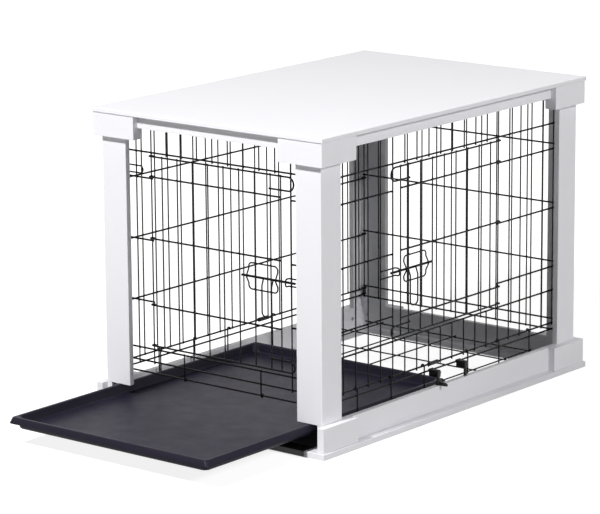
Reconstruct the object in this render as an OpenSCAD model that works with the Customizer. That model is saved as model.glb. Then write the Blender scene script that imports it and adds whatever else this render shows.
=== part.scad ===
// Pet crate: a wire crate that stands under a white wooden cover, with a door in
// its front, a second door in its right side and a pan that slides out in front.
// Sizes are millimetres. The origin is on the floor at the centre of the base.
// X runs across the front to the side that has the second door, Y runs from the
// front to the back, and Z is up. The pan is drawn half pulled out, the doors shut.

/* [Wire crate] */
// Distance between neighbouring upright wires
wire_pitch = 39.2; // [37:0.2:42]
// Meshes across the front
cells_w = 13; // [13:2:17]
// Meshes along each side
cells_l = 20; // [18:2:24]
// Thickness of the upright wires
post_d = 2.8; // [2.4:0.1:3.2]
// Thickness of the horizontal wires
row_d = 3.6; // [3.2:0.1:4]
// Seam between crossing wires, which are welded to each other
weld_seam = 0.02; // [0.01:0.01:0.05]
// Free space inside the wire hooks round a post
hook_play = 0.4; // [0.3:0.05:0.6]
// Turn of a wire hook, in degrees
hook_turn = 250; // [200:10:250]

/* [Crate heights above the lowest front wire] */
// Second wire of the front
front_second = 23; // [18:1:30]
// Wire under the front door
front_step = 49; // [40:1:60]
// Short wires beside the front door
front_stubs = [146.5, 271.25, 396]; // [140:0.25:400]
// Meshes from the middle to each hanger under the front door
hanger_cells = 2.5; // [1.5:1:3.5]
// Short upright under the front door, from the hinge
front_stay = 16; // [12:1:24]
// Wire over the front door
front_head = 448; // [440:1:470]
// Top wire of the front and the back
front_top = 507; // [495:1:520]
// Lowest wire of the sides
side_low = 4; // [4:0.1:6]
// Second wire of the sides
side_second = 17.5; // [15:0.5:19]
// Wire under the side door
side_step = 88; // [80:1:100]
// Long and short wires of the sides
side_stubs = [138.5, 263.5, 388.5]; // [130:0.5:400]
// Wire over the side door
side_head = 442; // [436:1:460]
// Top wire of the sides
side_top = 503; // [490:0.1:503]

/* [Doors] */
// Meshes that each doorway is wide
door_cells = 9; // [9:2:11]
// First upright of a door, from its hinge
door_first = 28; // [24:0.5:34]
// Last upright of a door, from its hinge
door_edge = 328; // [322:1:334]
// Reach of the door's top and bottom wires past the latch post
door_stop = 9.6; // [7:0.2:14]
// Return of the top wire, below it
top_return = 27; // [22:1:32]
// Return of the bottom wire, above it
low_return = 22; // [18:1:26]
// Space over the doors
door_gap_top = 6; // [5:0.5:9]
// Space under the doors
door_gap_low = 10; // [8:0.5:14]
// Length of a door's returned wires past its last upright
door_return = 26; // [20:1:30]
// Space between a shut door's wires and the posts
door_play = 0.4; // [0.3:0.05:0.6]
// Middle wires of the front door, above the lowest front wire
front_door_rows = [142, 277, 401]; // [140:0.5:420]
// Middle wires of the side door, above the lowest front wire
side_door_rows = [133.5, 269, 393]; // [130:0.5:420]

/* [Latches] */
// Height of the front bolt above the lowest front wire
front_bolt_rise = 237.5; // [225:0.5:245]
// Height of the side bolt above the lowest front wire
side_bolt_rise = 229.5; // [220:0.5:240]
// Thickness of the bolts
bolt_d = 4.8; // [4:0.1:5]
// Thickness of the guide, keeper and handle wires
latch_d = 3; // [2.6:0.1:3.2]
// Length of a bolt
bolt_l = 132; // [124:1:134]
// Engagement of the bolt behind the latch post
bolt_throw = 13.6; // [10:0.2:16]
// Free space between the bolt and the door's uprights
bolt_play = 1.9; // [1.9:0.1:2.5]
// Width of the bolt guide
guide_w = 72; // [64:1:76]
// Height of the bolt guide above and below the bolt
guide_rise = 26; // [25:1:30]
// Distance from the bolt guide to the latch post
guide_place = 31.4; // [29:0.2:34]
// Half the height of the kink where the guide crosses the bolt
kink_rise = 14.5; // [14:0.5:16]
// Reach of the kink beyond the bolt's axis
kink_reach = 4.8; // [4.8:0.1:6]
// Corner radius of the bolt guide
guide_r = 8; // [4:0.5:8]
// Bend radius at the top of the guide's kinks
kink_r = 4; // [3:0.5:5]
// Bend radius where the guide's kinks and the keeper leave their panel
foot_r = 3; // [2:0.5:4]
// Half the distance between the keeper's arms
keeper_rise = 7.5; // [6:0.5:9]
// Reach of the keeper's loop beyond the bolt's axis
keeper_reach = 7.6; // [6:0.2:8]
// Distance between the legs of a bolt handle
handle_w = 24; // [20:1:28]
// Reach of the keeper back over the latch post
keeper_back = 4; // [3:0.5:6]
// Corner radius of the keeper's loop
keeper_r = 5; // [4:0.5:6]
// Length of a bolt handle below the bolt
handle_drop = 73; // [60:1:80]
// Distance from the outer leg of a bolt handle to the latch post
handle_place = 37.4; // [36.4:0.2:40]
// Space between a bolt and its handle
handle_play = 0.1; // [0.1:0.05:0.3]
// Outward lean of the handle's legs, and the height over which they lean
handle_lean = [4.6, 13]; // [4:0.5:16]
// Bend radius where the handle's legs stop leaning
handle_lean_r = 8; // [6:0.5:10]
// Corner radius of the handle
handle_r = 9; // [6:0.5:10]
// Height of the handle's tips above the bolt's axis
handle_tip = 3; // [2:0.5:4]
// Height of the lock wires above the lowest front wire
lock_rise = 420; // [410:1:430]
// Height of a lock wire
lock_h = 14.5; // [12:0.5:18]

/* [Roof of the crate] */
// Long wires of the roof, as shares of half the crate's width
roof_long = [-0.9, -0.5, 0, 0.5, 0.9]; // [-1:0.05:1]
// Space between the roof and the walls
roof_play = 0.1; // [0.1:0.05:0.4]

/* [Floor of the crate] */
// Thickness of the floor wires
grid_d = 3; // [2.6:0.1:3.2]
// Height of the rubber feet
foot_h = 17.5; // [16:0.5:18]
// Diameter of the rubber feet
foot_d = 12; // [8:0.5:12]
// Places of the cross wires, from the middle to each end
grid_cross = [73.5, 182, 290]; // [60:0.5:300]
// Places of the long floor wires, from the middle to each side
grid_long = [0, 98, 196]; // [0:1:200]
// Bend radius where the cross wires turn up
grid_bend = 6; // [5:0.5:7]
// Distance from the last floor wire to the end of the crate
grid_end = 12; // [9:1:20]
// Height of the lowest front wire above the floor wires
low_rise = 54; // [50:1:60]

/* [Pan] */
// Length of the pan
pan_l = 745; // [720:5:760]
// Space between the pan's rim and the side posts
pan_side = 3.8; // [3.5:0.1:6]
// Depth of the pan
pan_h = 24; // [20:0.5:24]
// Height of the pan's rim band
rim_h = 13; // [8:0.5:15]
// Step from the rim band in to the pan's body
rim_step = 10; // [8:0.5:12]
// Thickness of the pan's walls and floor
pan_wall = 2.5; // [2:0.1:3.5]
// Corner radius of the pan
pan_r = 14; // [12:1:20]
// Space between the pan and the floor wires
pan_play = 0.3; // [0.2:0.05:0.5]
// Length of the pan that is pulled out at rest
pan_out = 343; // [200:1:400]

/* [Cover] */
// Thickness of the cover's boards
board_t = 12; // [10:0.5:14]
// Space between the side posts and the legs
side_gap = 8.2; // [7.5:0.1:12]
// Space between the front and back posts and the legs
end_gap = 21; // [19:0.5:30]
// Width of each face of a leg
leg_face = 61; // [50:1:70]
// Length of each arm of a corner block under the top
capital_arm = 107; // [95:1:120]
// Depth of a corner block
capital_depth = 28; // [24:0.5:28.5]
// Height of a corner block
capital_h = 47; // [40:1:55]
// Step from the leg's face out to the corner block
capital_step = 14; // [10:0.5:16]
// Height of the aprons
apron_h = 24.5; // [20:0.5:32]
// Thickness of the top
top_t = 9; // [8:0.5:15]
// Overhang of the top past the corner blocks
top_over = 1; // [0:0.5:4]
// Space between the crate and the top
roof_gap = 19; // [16:0.5:30]

/* [Base] */
// Thickness of the base board
base_t = 12; // [10:0.5:15]
// Width of the base board's strips
base_strip = 49; // [46:1:60]
// Height of the rails
rail_h = 49; // [49:0.5:60]
// Thickness of the corner plinths
plinth_t = 15; // [10:0.5:18]
// Length of the corner plinths
plinth_l = 107; // [90:1:120]
// Ledge of the base board past the plinths
base_over = 4; // [2:0.5:8]
// Width of the black front sill
sill_w = 34; // [25:1:40]

/* [Fasteners] */
// Diameter of the dowels
dowel_d = 6; // [5:0.5:7]
// Length of the dowels
dowel_l = 30; // [24:1:36]
// Extra width of the dowel holes
dowel_fit = 0.1; // [0.1:0.05:0.3]
// Diameter of the screws
screw_d = 4; // [3:0.1:4.5]
// Diameter of the screw heads
head_d = 8; // [7:0.1:8.5]
// Height of the screw heads
head_h = 3; // [2.5:0.1:3.5]
// Extra width of the screw holes
screw_fit = 0.2; // [0.1:0.05:0.4]
// Place of the top screws, as a share of a corner block's arm
top_screw_share = 0.75; // [0.6:0.01:0.85]
// Places of the screws in the side rails, as shares of half their length
rail_screw_shares = [-0.6, 0, 0.6]; // [-0.9:0.05:0.9]
// Places of the screws in the back rail, as shares of half the width
back_screw_shares = [-0.5, 0.5]; // [-0.8:0.05:0.8]
// Places of the screws in a plinth, as shares of its length
plinth_screw_shares = [0.25, 0.75]; // [0.2:0.05:0.8]
// Length of the screws that hold the plinths
plinth_screw_l = 22; // [18:0.5:24]

/* [Side clips] */
// Distance from the middle to each clip
clip_place = 46; // [40:0.5:52]
// Width of a clip along the rail
clip_w = 12; // [10:0.5:14]
// Height of a clip's head
clip_head_h = 16; // [12:0.5:18]
// Diameter of the post under a clip's head
clip_post_d = 7; // [6:0.5:8]
// Height of a clip's lever
lever_h = 10; // [8:0.5:11]
// Height of the lever's tip
lever_tip_h = 5; // [4:0.5:6]
// Reach of the lever from its post
lever_l = 24; // [20:1:25]
// Step from the lever's hub down to its arm
lever_step = 1; // [0.5:0.5:2]
// Width of the lever
lever_w = 8; // [6:0.5:9]
// Free space round the lever's post
lever_fit = 0.05; // [0.03:0.01:0.1]
// Length of the sleeve on the second side wire
sleeve_l = 30; // [20:1:32]
// Wall of the plastic sleeves
sleeve_wall = 2; // [1.5:0.1:2.2]
// Space between a sleeve and its wire
sleeve_fit = 0.2; // [0.1:0.05:0.3]

/* [Hidden] */
$fn = 32;
eps = 0.01;
knuckle_extra = 0.1;

// Crate outline: the planes of its posts
crate_hw = cells_w * wire_pitch / 2;
crate_hl = cells_l * wire_pitch / 2;
door_half = door_cells * wire_pitch / 2;

// Layers of wires, measured outwards from the plane of a panel's posts
row_n = (post_d + row_d) / 2 + weld_seam;
hook_r = (post_d + row_d) / 2 + hook_play;
corner_n = hook_r - row_n;
door_n = (post_d + row_d) / 2 + door_play;
door_post_n = door_n - row_n;
latch_n = door_post_n + (post_d + latch_d) / 2 + weld_seam;
bolt_n = door_post_n + (post_d + bolt_d) / 2 + bolt_play;
keeper_n = (post_d + latch_d) / 2 + weld_seam;

// Heights
grid_z = base_t + foot_h + grid_d / 2;
runner_z = grid_z + grid_d + weld_seam;
low_z = grid_z + low_rise;
crate_top_z = low_z + front_top;
rail_top = base_t + rail_h;
top_under = crate_top_z + roof_gap;
leg_top = top_under - capital_h;
pan_z = runner_z + grid_d / 2 + pan_play;

// Cover outline
leg_x = crate_hw + side_gap + board_t;
leg_y = crate_hl + end_gap + board_t;
capital_x = leg_x + capital_step;
capital_y = leg_y + capital_step;
plinth_x = leg_x + plinth_t;
plinth_y = leg_y + plinth_t;
base_x = plinth_x + base_over;
base_y = plinth_y + base_over;
top_x = capital_x + top_over;
top_y = capital_y + top_over;

// Pan outline
pan_hw = crate_hw - pan_side;
pan_front = -crate_hl - pan_out;

// Wire path made of straight pieces and round bends. Each bend has its own radius,
// and a sphere a hair thicker than the wire joins each bend to its neighbours. Its poles
// stand upright, or point along the wire.
function unit(v) = v / norm(v);
function corner_turn(u, v) = acos(max(-1, min(1, u * v)));
function corner_cut(u, v, r) = r * tan(corner_turn(u, v) / 2);

module frame_at(ex, ey, ez, origin) {
    multmatrix([[ex.x, ey.x, ez.x, origin.x],
                [ex.y, ey.y, ez.y, origin.y],
                [ex.z, ey.z, ez.z, origin.z],
                [0, 0, 0, 1]]) children();
}

module facing(origin, way) {
    dir = unit(way);
    side = unit(cross(dir, abs(dir.z) < 0.9 ? [0, 0, 1] : [1, 0, 0]));
    frame_at(side, cross(dir, side), dir, origin) children();
}

module rod(a, b, d) { facing(a, b - a) cylinder(d = d, h = norm(b - a)); }

module bend(p, u, v, r, d) {
    inward = unit(v - (v * u) * u);
    centre = p - u * corner_cut(u, v, r) + inward * r;
    frame_at(-inward, u, cross(-inward, u), centre)
        rotate_extrude(angle = corner_turn(u, v)) translate([r, 0]) circle(d = d);
}

module knuckle(p, way, d) { facing(p, way) sphere(d = d + knuckle_extra); }
module joint(p, way, d, along) {
    if (along) knuckle(p, way, d);
    else translate(p) sphere(d = d + knuckle_extra);
}

module wire_path(points, radii, d, closed = false, along = false) {
    count = len(points);
    last = closed ? count - 1 : count - 2;
    ways = [for (i = [0 : last]) unit(points[(i + 1) % count] - points[i])];
    cuts = [for (i = [0 : count - 1])
        (!closed && (i == 0 || i == count - 1)) ? 0
            : corner_cut(ways[(i - 1 + count) % count], ways[i], radii[i])];
    for (i = [0 : last]) {
        a = points[i] + ways[i] * cuts[i];
        b = points[(i + 1) % count] - ways[i] * cuts[(i + 1) % count];
        if (norm(b - a) > eps) {
            rod(a, b, d);
            if (cuts[(i + 1) % count] > 0) joint(b, ways[i], d, along);
        }
        if (cuts[i] > 0) {
            bend(points[i], ways[(i - 1 + count) % count], ways[i], radii[i], d);
            joint(a, ways[i], d, along);
        }
    }
}

// A panel is drawn with s along X, its outside towards -Y, and then turned to its place.
// On the sides, s runs towards the front.
module on_front() { translate([0, -crate_hl, 0]) children(); }
module on_back() { rotate([0, 0, 180]) on_front() children(); }
module on_left() { rotate([0, 0, -90]) translate([0, -crate_hw, 0]) children(); }
module on_right() { mirror([1, 0, 0]) on_left() children(); }
function at(s, n, z) = [s, -n, z];

module post(s, z0, z1, n = 0, d = post_d) { rod(at(s, n, z0), at(s, n, z1), d); }
module row(s0, s1, z, n = -row_n, d = row_d) { rod(at(s0, n, z), at(s1, n, z), d); }

// Hook round an upright at s, for a wire that arrives at distance n from it and
// comes from the side that way points to
module hook(s, n, z, way) {
    start = n > 0 ? -90 : 90;
    first = way * n > 0 ? start - hook_turn : start;
    translate(at(s, 0, z)) rotate([0, 0, first])
        rotate_extrude(angle = hook_turn) translate([abs(n), 0]) circle(d = row_d);
}

// Wire that runs from s0 to s1 at z, turns round there and runs back to back_s at back_z
module turned_wire(s0, s1, back_s, z, back_z, n, d) {
    turn_r = abs(back_z - z) / 2;
    far = s1 - sign(s1 - s0) * turn_r;
    across = [0, 0, sign(z - back_z)];
    along = [sign(s1 - s0), 0, 0];
    row(s0, far, z, n, d);
    knuckle(at(far, n, z), along, d);
    frame_at(across, along, cross(across, along), at(far, n, (z + back_z) / 2))
        rotate_extrude(angle = 180) translate([turn_r, 0]) circle(d = d);
    knuckle(at(far, n, back_z), along, d);
    row(back_s, far, back_z, n, d);
}

function places(count) = [for (k = [0 : count - 1]) (k - (count - 1) / 2) * wire_pitch];

// Posts that stop over the doorway in the middle
module doorway_posts(spots, foot, head, top) {
    for (s = spots) post(s, abs(s) > door_half - eps ? foot : head - row_d, top);
}

// Row whose ends may hook round uprights that stand at distance round_n
module hooked_row(s0, s1, z, n, round_n, at_start, at_end) {
    union() {
        row(s0, s1, z, n);
        if (at_start) {
            knuckle(at(s0, n, z), [1, 0, 0], row_d);
            translate(at(0, round_n, 0)) hook(s0, n - round_n, z, 1);
        }
        if (at_end) {
            knuckle(at(s1, n, z), [1, 0, 0], row_d);
            translate(at(0, round_n, 0)) hook(s1, n - round_n, z, -1);
        }
    }
}

module corner_posts() {
    for (side = [-1, 1]) post(side * (crate_hw + corner_n), low_z - row_d, crate_top_z + post_d);
}

// Short post under the doorway whose foot hooks round the lowest wire
module hanger(s) {
    union() {
        post(s, low_z, low_z + front_step + row_d);
        knuckle(at(s, 0, low_z), [0, 0, 1], post_d);
        frame_at([0, -1, 0], [0, 0, -1], [1, 0, 0], at(s, -row_n, low_z))
            rotate_extrude(angle = hook_turn) translate([row_n, 0]) circle(d = post_d);
    }
}

module front_wires() {
    half = crate_hw + corner_n;
    inner = [for (s = places(cells_w + 1)) if (abs(s) < crate_hw - eps) s];
    doorway_posts(inner, low_z + front_second - row_d, low_z + front_head, crate_top_z + post_d);
    corner_posts();
    for (r = [0, front_second, front_step, front_head, front_top]) row(-half, half, low_z + r);
    for (r = front_stubs) {
        row(-half, -door_half, low_z + r);
        row(door_half, half, low_z + r);
    }
    for (side = [-1, 1]) hanger(side * hanger_cells * wire_pitch);
    post(front_stay - door_half, low_z + 2 * row_d, low_z + front_step + row_d);
}

module back_wires() {
    half = crate_hw + corner_n;
    inner = [for (s = places(cells_w + 1)) if (abs(s) < crate_hw - eps) s];
    for (s = inner) post(s, low_z - row_d, crate_top_z + post_d);
    corner_posts();
    for (r = concat([0, front_second, front_top], front_stubs)) row(-half, half, low_z + r);
}

// Rows of a side panel hook round the corner posts at both ends
module side_row(rise) {
    hooked_row(-crate_hl, crate_hl, low_z + rise, -row_n, corner_n, true, true);
}

module side_stub_pair(rise) {
    hooked_row(-crate_hl, -door_half, low_z + rise, -row_n, corner_n, true, false);
    hooked_row(door_half, crate_hl, low_z + rise, -row_n, corner_n, false, true);
}

module right_wires() {
    foot = low_z + side_second - row_d;
    doorway_posts(places(cells_l), foot, low_z + side_head, low_z + side_top);
    for (s = places(cells_l)) if (abs(s) < door_half - eps) post(s, foot, low_z + side_step + row_d / 2);
    for (r = [side_low, side_second, side_step, side_head, side_top]) side_row(r);
    for (r = side_stubs) side_stub_pair(r);
}

module left_wires() {
    for (s = places(cells_l)) post(s, low_z + side_second - row_d, low_z + side_top);
    for (r = concat([side_low, side_second, side_top], side_stubs)) side_row(r);
}

// Door with its hinge at -door_half and its latch at +door_half
module door_wires(low, mids, top) {
    edge = door_edge - door_half;
    uprights = concat([for (s = [door_first : wire_pitch : door_edge - wire_pitch / 2]) s - door_half],
                      [edge]);
    for (s = uprights) post(s, low - row_d / 2, top + row_d / 2, door_post_n);
    for (z = mids) hooked_row(-door_half, edge + post_d, z, door_n, 0, true, false);
    door_edge_wire(top, top - top_return);
    door_edge_wire(low, low + low_return);
}

// Top or bottom wire of a door, which turns back round the latch post
module door_edge_wire(z, back_z) {
    union() {
        turned_wire(-door_half, door_half + door_stop, door_edge - door_half - door_return,
                    z, back_z, door_n, row_d);
        knuckle(at(-door_half, door_n, z), [1, 0, 0], row_d);
        hook(-door_half, door_n, z, 1);
    }
}

// Latch: s is measured to the latch post at +door_half, z to the bolt's axis
module guide_wire(z) {
    s1 = door_half - guide_place;
    s0 = s1 - guide_w;
    reach = bolt_n + kink_reach;
    wire_path([at(s1, latch_n, z + guide_rise), at(s0, latch_n, z + guide_rise),
               at(s0, latch_n, z + kink_rise), at(s0, reach, z), at(s0, latch_n, z - kink_rise),
               at(s0, latch_n, z - guide_rise), at(s1, latch_n, z - guide_rise),
               at(s1, latch_n, z - kink_rise), at(s1, reach, z), at(s1, latch_n, z + kink_rise)],
              [guide_r, guide_r, foot_r, kink_r, foot_r, guide_r, guide_r, foot_r, kink_r, foot_r],
              latch_d, closed = true);
}

module keeper_wire(z) {
    far = door_half + wire_pitch + post_d / 2;
    near = door_half - keeper_back;
    reach = bolt_n + keeper_reach;
    wire_path([at(far, keeper_n, z + keeper_rise), at(near, keeper_n, z + keeper_rise),
               at(near, reach, z + keeper_rise), at(near, reach, z - keeper_rise),
               at(near, keeper_n, z - keeper_rise), at(far, keeper_n, z - keeper_rise)],
              [0, foot_r, keeper_r, keeper_r, foot_r, 0], latch_d, along = true);
}

module bolt_rod(z) {
    tip = door_half + bolt_throw;
    row(tip - bolt_l, tip, z, bolt_n, bolt_d);
}

module handle_wire(z) {
    s1 = door_half - handle_place;
    s0 = s1 - handle_w;
    lean = handle_lean.x;
    fall = handle_lean.y;
    slope = lean / fall;
    over = (bolt_d + latch_d) / 2 + handle_play;
    start_n = bolt_n + over * sqrt(1 + slope * slope);
    tip_n = start_n - handle_tip * slope;
    wire_path([at(s0, tip_n, z + handle_tip), at(s0, start_n + lean, z - fall),
               at(s0, start_n + lean, z - handle_drop), at(s1, start_n + lean, z - handle_drop),
               at(s1, start_n + lean, z - fall), at(s1, tip_n, z + handle_tip)],
              [0, handle_lean_r, handle_r, handle_r, handle_lean_r, 0], latch_d);
}

// Boards
module board(x0, x1, y0, y1, z0, z1) {
    translate([x0, y0, z0]) cube([x1 - x0, y1 - y0, z1 - z0]);
}

// L-shaped prism in the corner of +x and +y: arms run back along both axes
module corner_prism(x, y, arm, thick, z0, z1) {
    translate([0, 0, z0]) linear_extrude(z1 - z0)
        polygon([[x, y], [x - arm, y], [x - arm, y - thick], [x - thick, y - thick],
                 [x - thick, y - arm], [x, y - arm]]);
}

module at_corner(sx, sy) {
    mirror([sx < 0 ? 1 : 0, 0, 0]) mirror([0, sy < 0 ? 1 : 0, 0]) children();
}

module screw(l) {
    union() {
        cylinder(d = head_d, h = head_h);
        cylinder(d = screw_d, h = l);
    }
}

module screw_hole(l) {
    translate([0, 0, -eps]) cylinder(d = head_d + screw_fit, h = head_h + screw_fit + eps);
    cylinder(d = screw_d + screw_fit, h = l + screw_fit);
}

// Dowels that stand in the middle of the leg's two walls, in the corner +x +y
leg_wall_mid = board_t / 2;
function leg_spots() = [[leg_x - leg_wall_mid, leg_y - leg_face / 2],
                        [leg_x - leg_face / 2, leg_y - leg_wall_mid]];

module upright_dowel(spot, z) {
    translate([spot.x, spot.y, z - dowel_l / 2]) cylinder(d = dowel_d, h = dowel_l);
}

module upright_dowel_hole(spot, z) {
    translate([spot.x, spot.y, z - dowel_l / 2 - dowel_fit])
        cylinder(d = dowel_d + dowel_fit, h = dowel_l + 2 * dowel_fit);
}

// Ends of the aprons, in the corner +x +y: along X under the back, along Y on the side
apron_mid_z = top_under - apron_h / 2;

module apron_dowel_pair(extra) {
    d = dowel_d + extra;
    l = dowel_l + 2 * extra;
    translate([capital_x - capital_arm - l / 2, leg_y - leg_wall_mid, apron_mid_z])
        rotate([0, 90, 0]) cylinder(d = d, h = l);
    translate([leg_x - leg_wall_mid, capital_y - capital_arm - l / 2, apron_mid_z])
        rotate([-90, 0, 0]) cylinder(d = d, h = l);
}

// Screws that come up through a corner block into the top
top_screw_l = capital_h + top_t / 2;
function top_screw_spots() = [[capital_x - capital_arm * top_screw_share, capital_y - capital_depth / 2],
                              [capital_x - capital_depth / 2, capital_y - capital_arm * top_screw_share]];

module capital(sx, sy) {
    color("white") at_corner(sx, sy) difference() {
        corner_prism(capital_x, capital_y, capital_arm, capital_depth, leg_top, top_under);
        for (spot = leg_spots()) upright_dowel_hole(spot, leg_top);
        for (spot = top_screw_spots()) translate([spot.x, spot.y, leg_top]) screw_hole(top_screw_l);
        apron_dowel_pair(dowel_fit);
    }
}

// The side wall of every leg stands on a side rail, and the end wall of a back leg
// on the back rail. The end wall of a front leg ends free, over the pan.
module leg(sx, sy) {
    color("white") at_corner(sx, sy) difference() {
        corner_prism(leg_x, leg_y, leg_face, board_t, rail_top, leg_top);
        for (spot = leg_spots()) upright_dowel_hole(spot, leg_top);
        upright_dowel_hole(leg_spots()[0], rail_top);
        if (sy > 0) upright_dowel_hole(leg_spots()[1], rail_top);
    }
}

module top_panel() {
    color("white") difference() {
        board(-top_x, top_x, -top_y, top_y, top_under, top_under + top_t);
        for (sx = [-1, 1], sy = [-1, 1], spot = top_screw_spots())
            at_corner(sx, sy) translate([spot.x, spot.y, leg_top]) screw_hole(top_screw_l);
    }
}

module capital_front_left() { capital(-1, -1); }
module capital_front_right() { capital(1, -1); }
module capital_back_left() { capital(-1, 1); }
module capital_back_right() { capital(1, 1); }
module leg_front_left() { leg(-1, -1); }
module leg_front_right() { leg(1, -1); }
module leg_back_left() { leg(-1, 1); }
module leg_back_right() { leg(1, 1); }

module all_apron_holes() {
    for (sx = [-1, 1], sy = [-1, 1]) at_corner(sx, sy) apron_dowel_pair(dowel_fit);
}

module apron_along_x(sy) {
    reach = capital_x - capital_arm;
    color("white") difference() {
        at_corner(1, sy) board(-reach, reach, leg_y - board_t, leg_y, top_under - apron_h, top_under);
        all_apron_holes();
    }
}

module apron_along_y(sx) {
    reach = capital_y - capital_arm;
    color("white") difference() {
        at_corner(sx, 1) board(leg_x - board_t, leg_x, -reach, reach, top_under - apron_h, top_under);
        all_apron_holes();
    }
}

module apron_front() { apron_along_x(-1); }
module apron_back() { apron_along_x(1); }
module apron_left() { apron_along_y(-1); }
module apron_right() { apron_along_y(1); }

// Screws that come up through the base board into the rails
base_screw_l = base_t + rail_h / 2;
rail_screw_spots = [for (side = [-1, 1], share = rail_screw_shares)
    [side * (leg_x - leg_wall_mid), share * leg_y]];
back_screw_spots = [for (share = back_screw_shares) [share * leg_x, leg_y - leg_wall_mid]];

module base_screw_holes() {
    for (spot = concat(rail_screw_spots, back_screw_spots))
        translate([spot.x, spot.y, 0]) screw_hole(base_screw_l);
}

module base_board() {
    inner_x = base_x - base_strip;
    inner_y = base_y - base_strip;
    color("white") difference() {
        linear_extrude(base_t)
            polygon([[-base_x, -base_y], [-inner_x, -base_y], [-inner_x, inner_y], [inner_x, inner_y],
                     [inner_x, -base_y], [base_x, -base_y], [base_x, base_y], [-base_x, base_y]]);
        base_screw_holes();
    }
}

module front_sill() {
    inner_x = base_x - base_strip;
    color("black") board(-inner_x, inner_x, -base_y, -base_y + sill_w, 0, base_t);
}

// Screws that go out through a side rail into a corner plinth, in the corner +x +y
plinth_screw_z = base_t + rail_h / 2;
function plinth_screw_ys() = [for (share = plinth_screw_shares) plinth_y - plinth_l * share];

module plinth_screw_holes() {
    for (sx = [-1, 1], sy = [-1, 1], y = plinth_screw_ys())
        at_corner(sx, sy) translate([leg_x - board_t, y, plinth_screw_z])
            rotate([0, 90, 0]) screw_hole(plinth_screw_l);
}

module rail_side(sx) {
    color("white") difference() {
        at_corner(sx, 1) board(leg_x - board_t, leg_x, -leg_y, leg_y, base_t, rail_top);
        base_screw_holes();
        plinth_screw_holes();
        for (sy = [-1, 1]) at_corner(sx, sy) upright_dowel_hole(leg_spots()[0], rail_top);
    }
}

module rail_left() { rail_side(-1); }
module rail_right() { rail_side(1); }

module rail_back() {
    reach = leg_x - board_t;
    color("white") difference() {
        board(-reach, reach, leg_y - board_t, leg_y, base_t, rail_top);
        base_screw_holes();
        for (sx = [-1, 1]) at_corner(sx, 1) upright_dowel_hole(leg_spots()[1], rail_top);
    }
}

module plinth_front(sx) {
    color("white") difference() {
        at_corner(sx, -1) board(leg_x, plinth_x, plinth_y - plinth_l, plinth_y, base_t, rail_top);
        plinth_screw_holes();
    }
}

module plinth_back(sx) {
    color("white") difference() {
        at_corner(sx, 1) corner_prism(plinth_x, plinth_y, plinth_l, plinth_t, base_t, rail_top);
        plinth_screw_holes();
    }
}

module plinth_front_left() { plinth_front(-1); }
module plinth_front_right() { plinth_front(1); }
module plinth_back_left() { plinth_back(-1); }
module plinth_back_right() { plinth_back(1); }

module leg_dowels() {
    color("burlywood") for (sx = [-1, 1], sy = [-1, 1]) at_corner(sx, sy) {
        for (spot = leg_spots()) upright_dowel(spot, leg_top);
        upright_dowel(leg_spots()[0], rail_top);
        if (sy > 0) upright_dowel(leg_spots()[1], rail_top);
    }
}

module apron_dowels() {
    color("burlywood") for (sx = [-1, 1], sy = [-1, 1]) at_corner(sx, sy) apron_dowel_pair(0);
}

module top_screws() {
    color("silver") for (sx = [-1, 1], sy = [-1, 1], spot = top_screw_spots())
        at_corner(sx, sy) translate([spot.x, spot.y, leg_top]) screw(top_screw_l);
}

module base_screws() {
    color("silver") for (spot = concat(rail_screw_spots, back_screw_spots))
        translate([spot.x, spot.y, 0]) screw(base_screw_l);
}

module plinth_screws() {
    color("silver") for (sx = [-1, 1], sy = [-1, 1], y = plinth_screw_ys())
        at_corner(sx, sy) translate([leg_x - board_t, y, plinth_screw_z])
            rotate([0, 90, 0]) screw(plinth_screw_l);
}

// Wire crate
module front_panel() { color("black") on_front() front_wires(); }
module right_panel() { color("black") on_right() right_wires(); }
module left_panel() { color("black") on_left() left_wires(); }
module back_panel() { color("black") on_back() back_wires(); }

// The roof's cross wires lie on the top wires of the sides
module roof_panel() {
    cross_z = low_z + side_top + (row_d + post_d) / 2 + roof_play;
    long_z = cross_z - row_n;
    cross_reach = crate_hw - row_n;
    long_reach = crate_hl - row_n - row_d / 2 - door_play;
    color("black") {
        for (y = places(cells_l)) rod([-cross_reach, y, cross_z], [cross_reach, y, cross_z], post_d);
        for (share = roof_long)
            rod([share * crate_hw, -long_reach, long_z], [share * crate_hw, long_reach, long_z], row_d);
    }
}

// Cross wires turn up at the sides and hook over the second side wire
module floor_grid() {
    up_x = crate_hw - row_n + hook_r;
    hook_z = low_z + side_second;
    end_y = crate_hl - grid_end;
    flat = crate_hw - 2 * grid_bend;
    color("black") {
        for (sy = [-1, 1], y = grid_cross)
            wire_path([[crate_hw - row_n - hook_r, sy * y, hook_z - eps],
                       [crate_hw - row_n - hook_r, sy * y, hook_z + hook_r],
                       [up_x, sy * y, hook_z + hook_r], [up_x, sy * y, grid_z],
                       [-up_x, sy * y, grid_z], [-up_x, sy * y, hook_z + hook_r],
                       [row_n + hook_r - crate_hw, sy * y, hook_z + hook_r],
                       [row_n + hook_r - crate_hw, sy * y, hook_z - eps]],
                      [0, hook_r, hook_r, grid_bend, grid_bend, hook_r, hook_r, 0], grid_d);
        for (sy = [-1, 1]) rod([-flat, sy * end_y, grid_z], [flat, sy * end_y, grid_z], grid_d);
        for (x = concat([for (g = grid_long) if (g > 0) -g], grid_long))
            rod([x, -end_y - grid_d, runner_z], [x, end_y + grid_d, runner_z], grid_d);
    }
}

module crate_feet() {
    color("dimgray") for (sx = [-1, 1], sy = [-1, 1], y = [grid_cross[0], grid_cross[2]])
        translate([sx * (crate_hw - row_n), sy * y, base_t]) cylinder(d = foot_d, h = foot_h);
}

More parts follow.
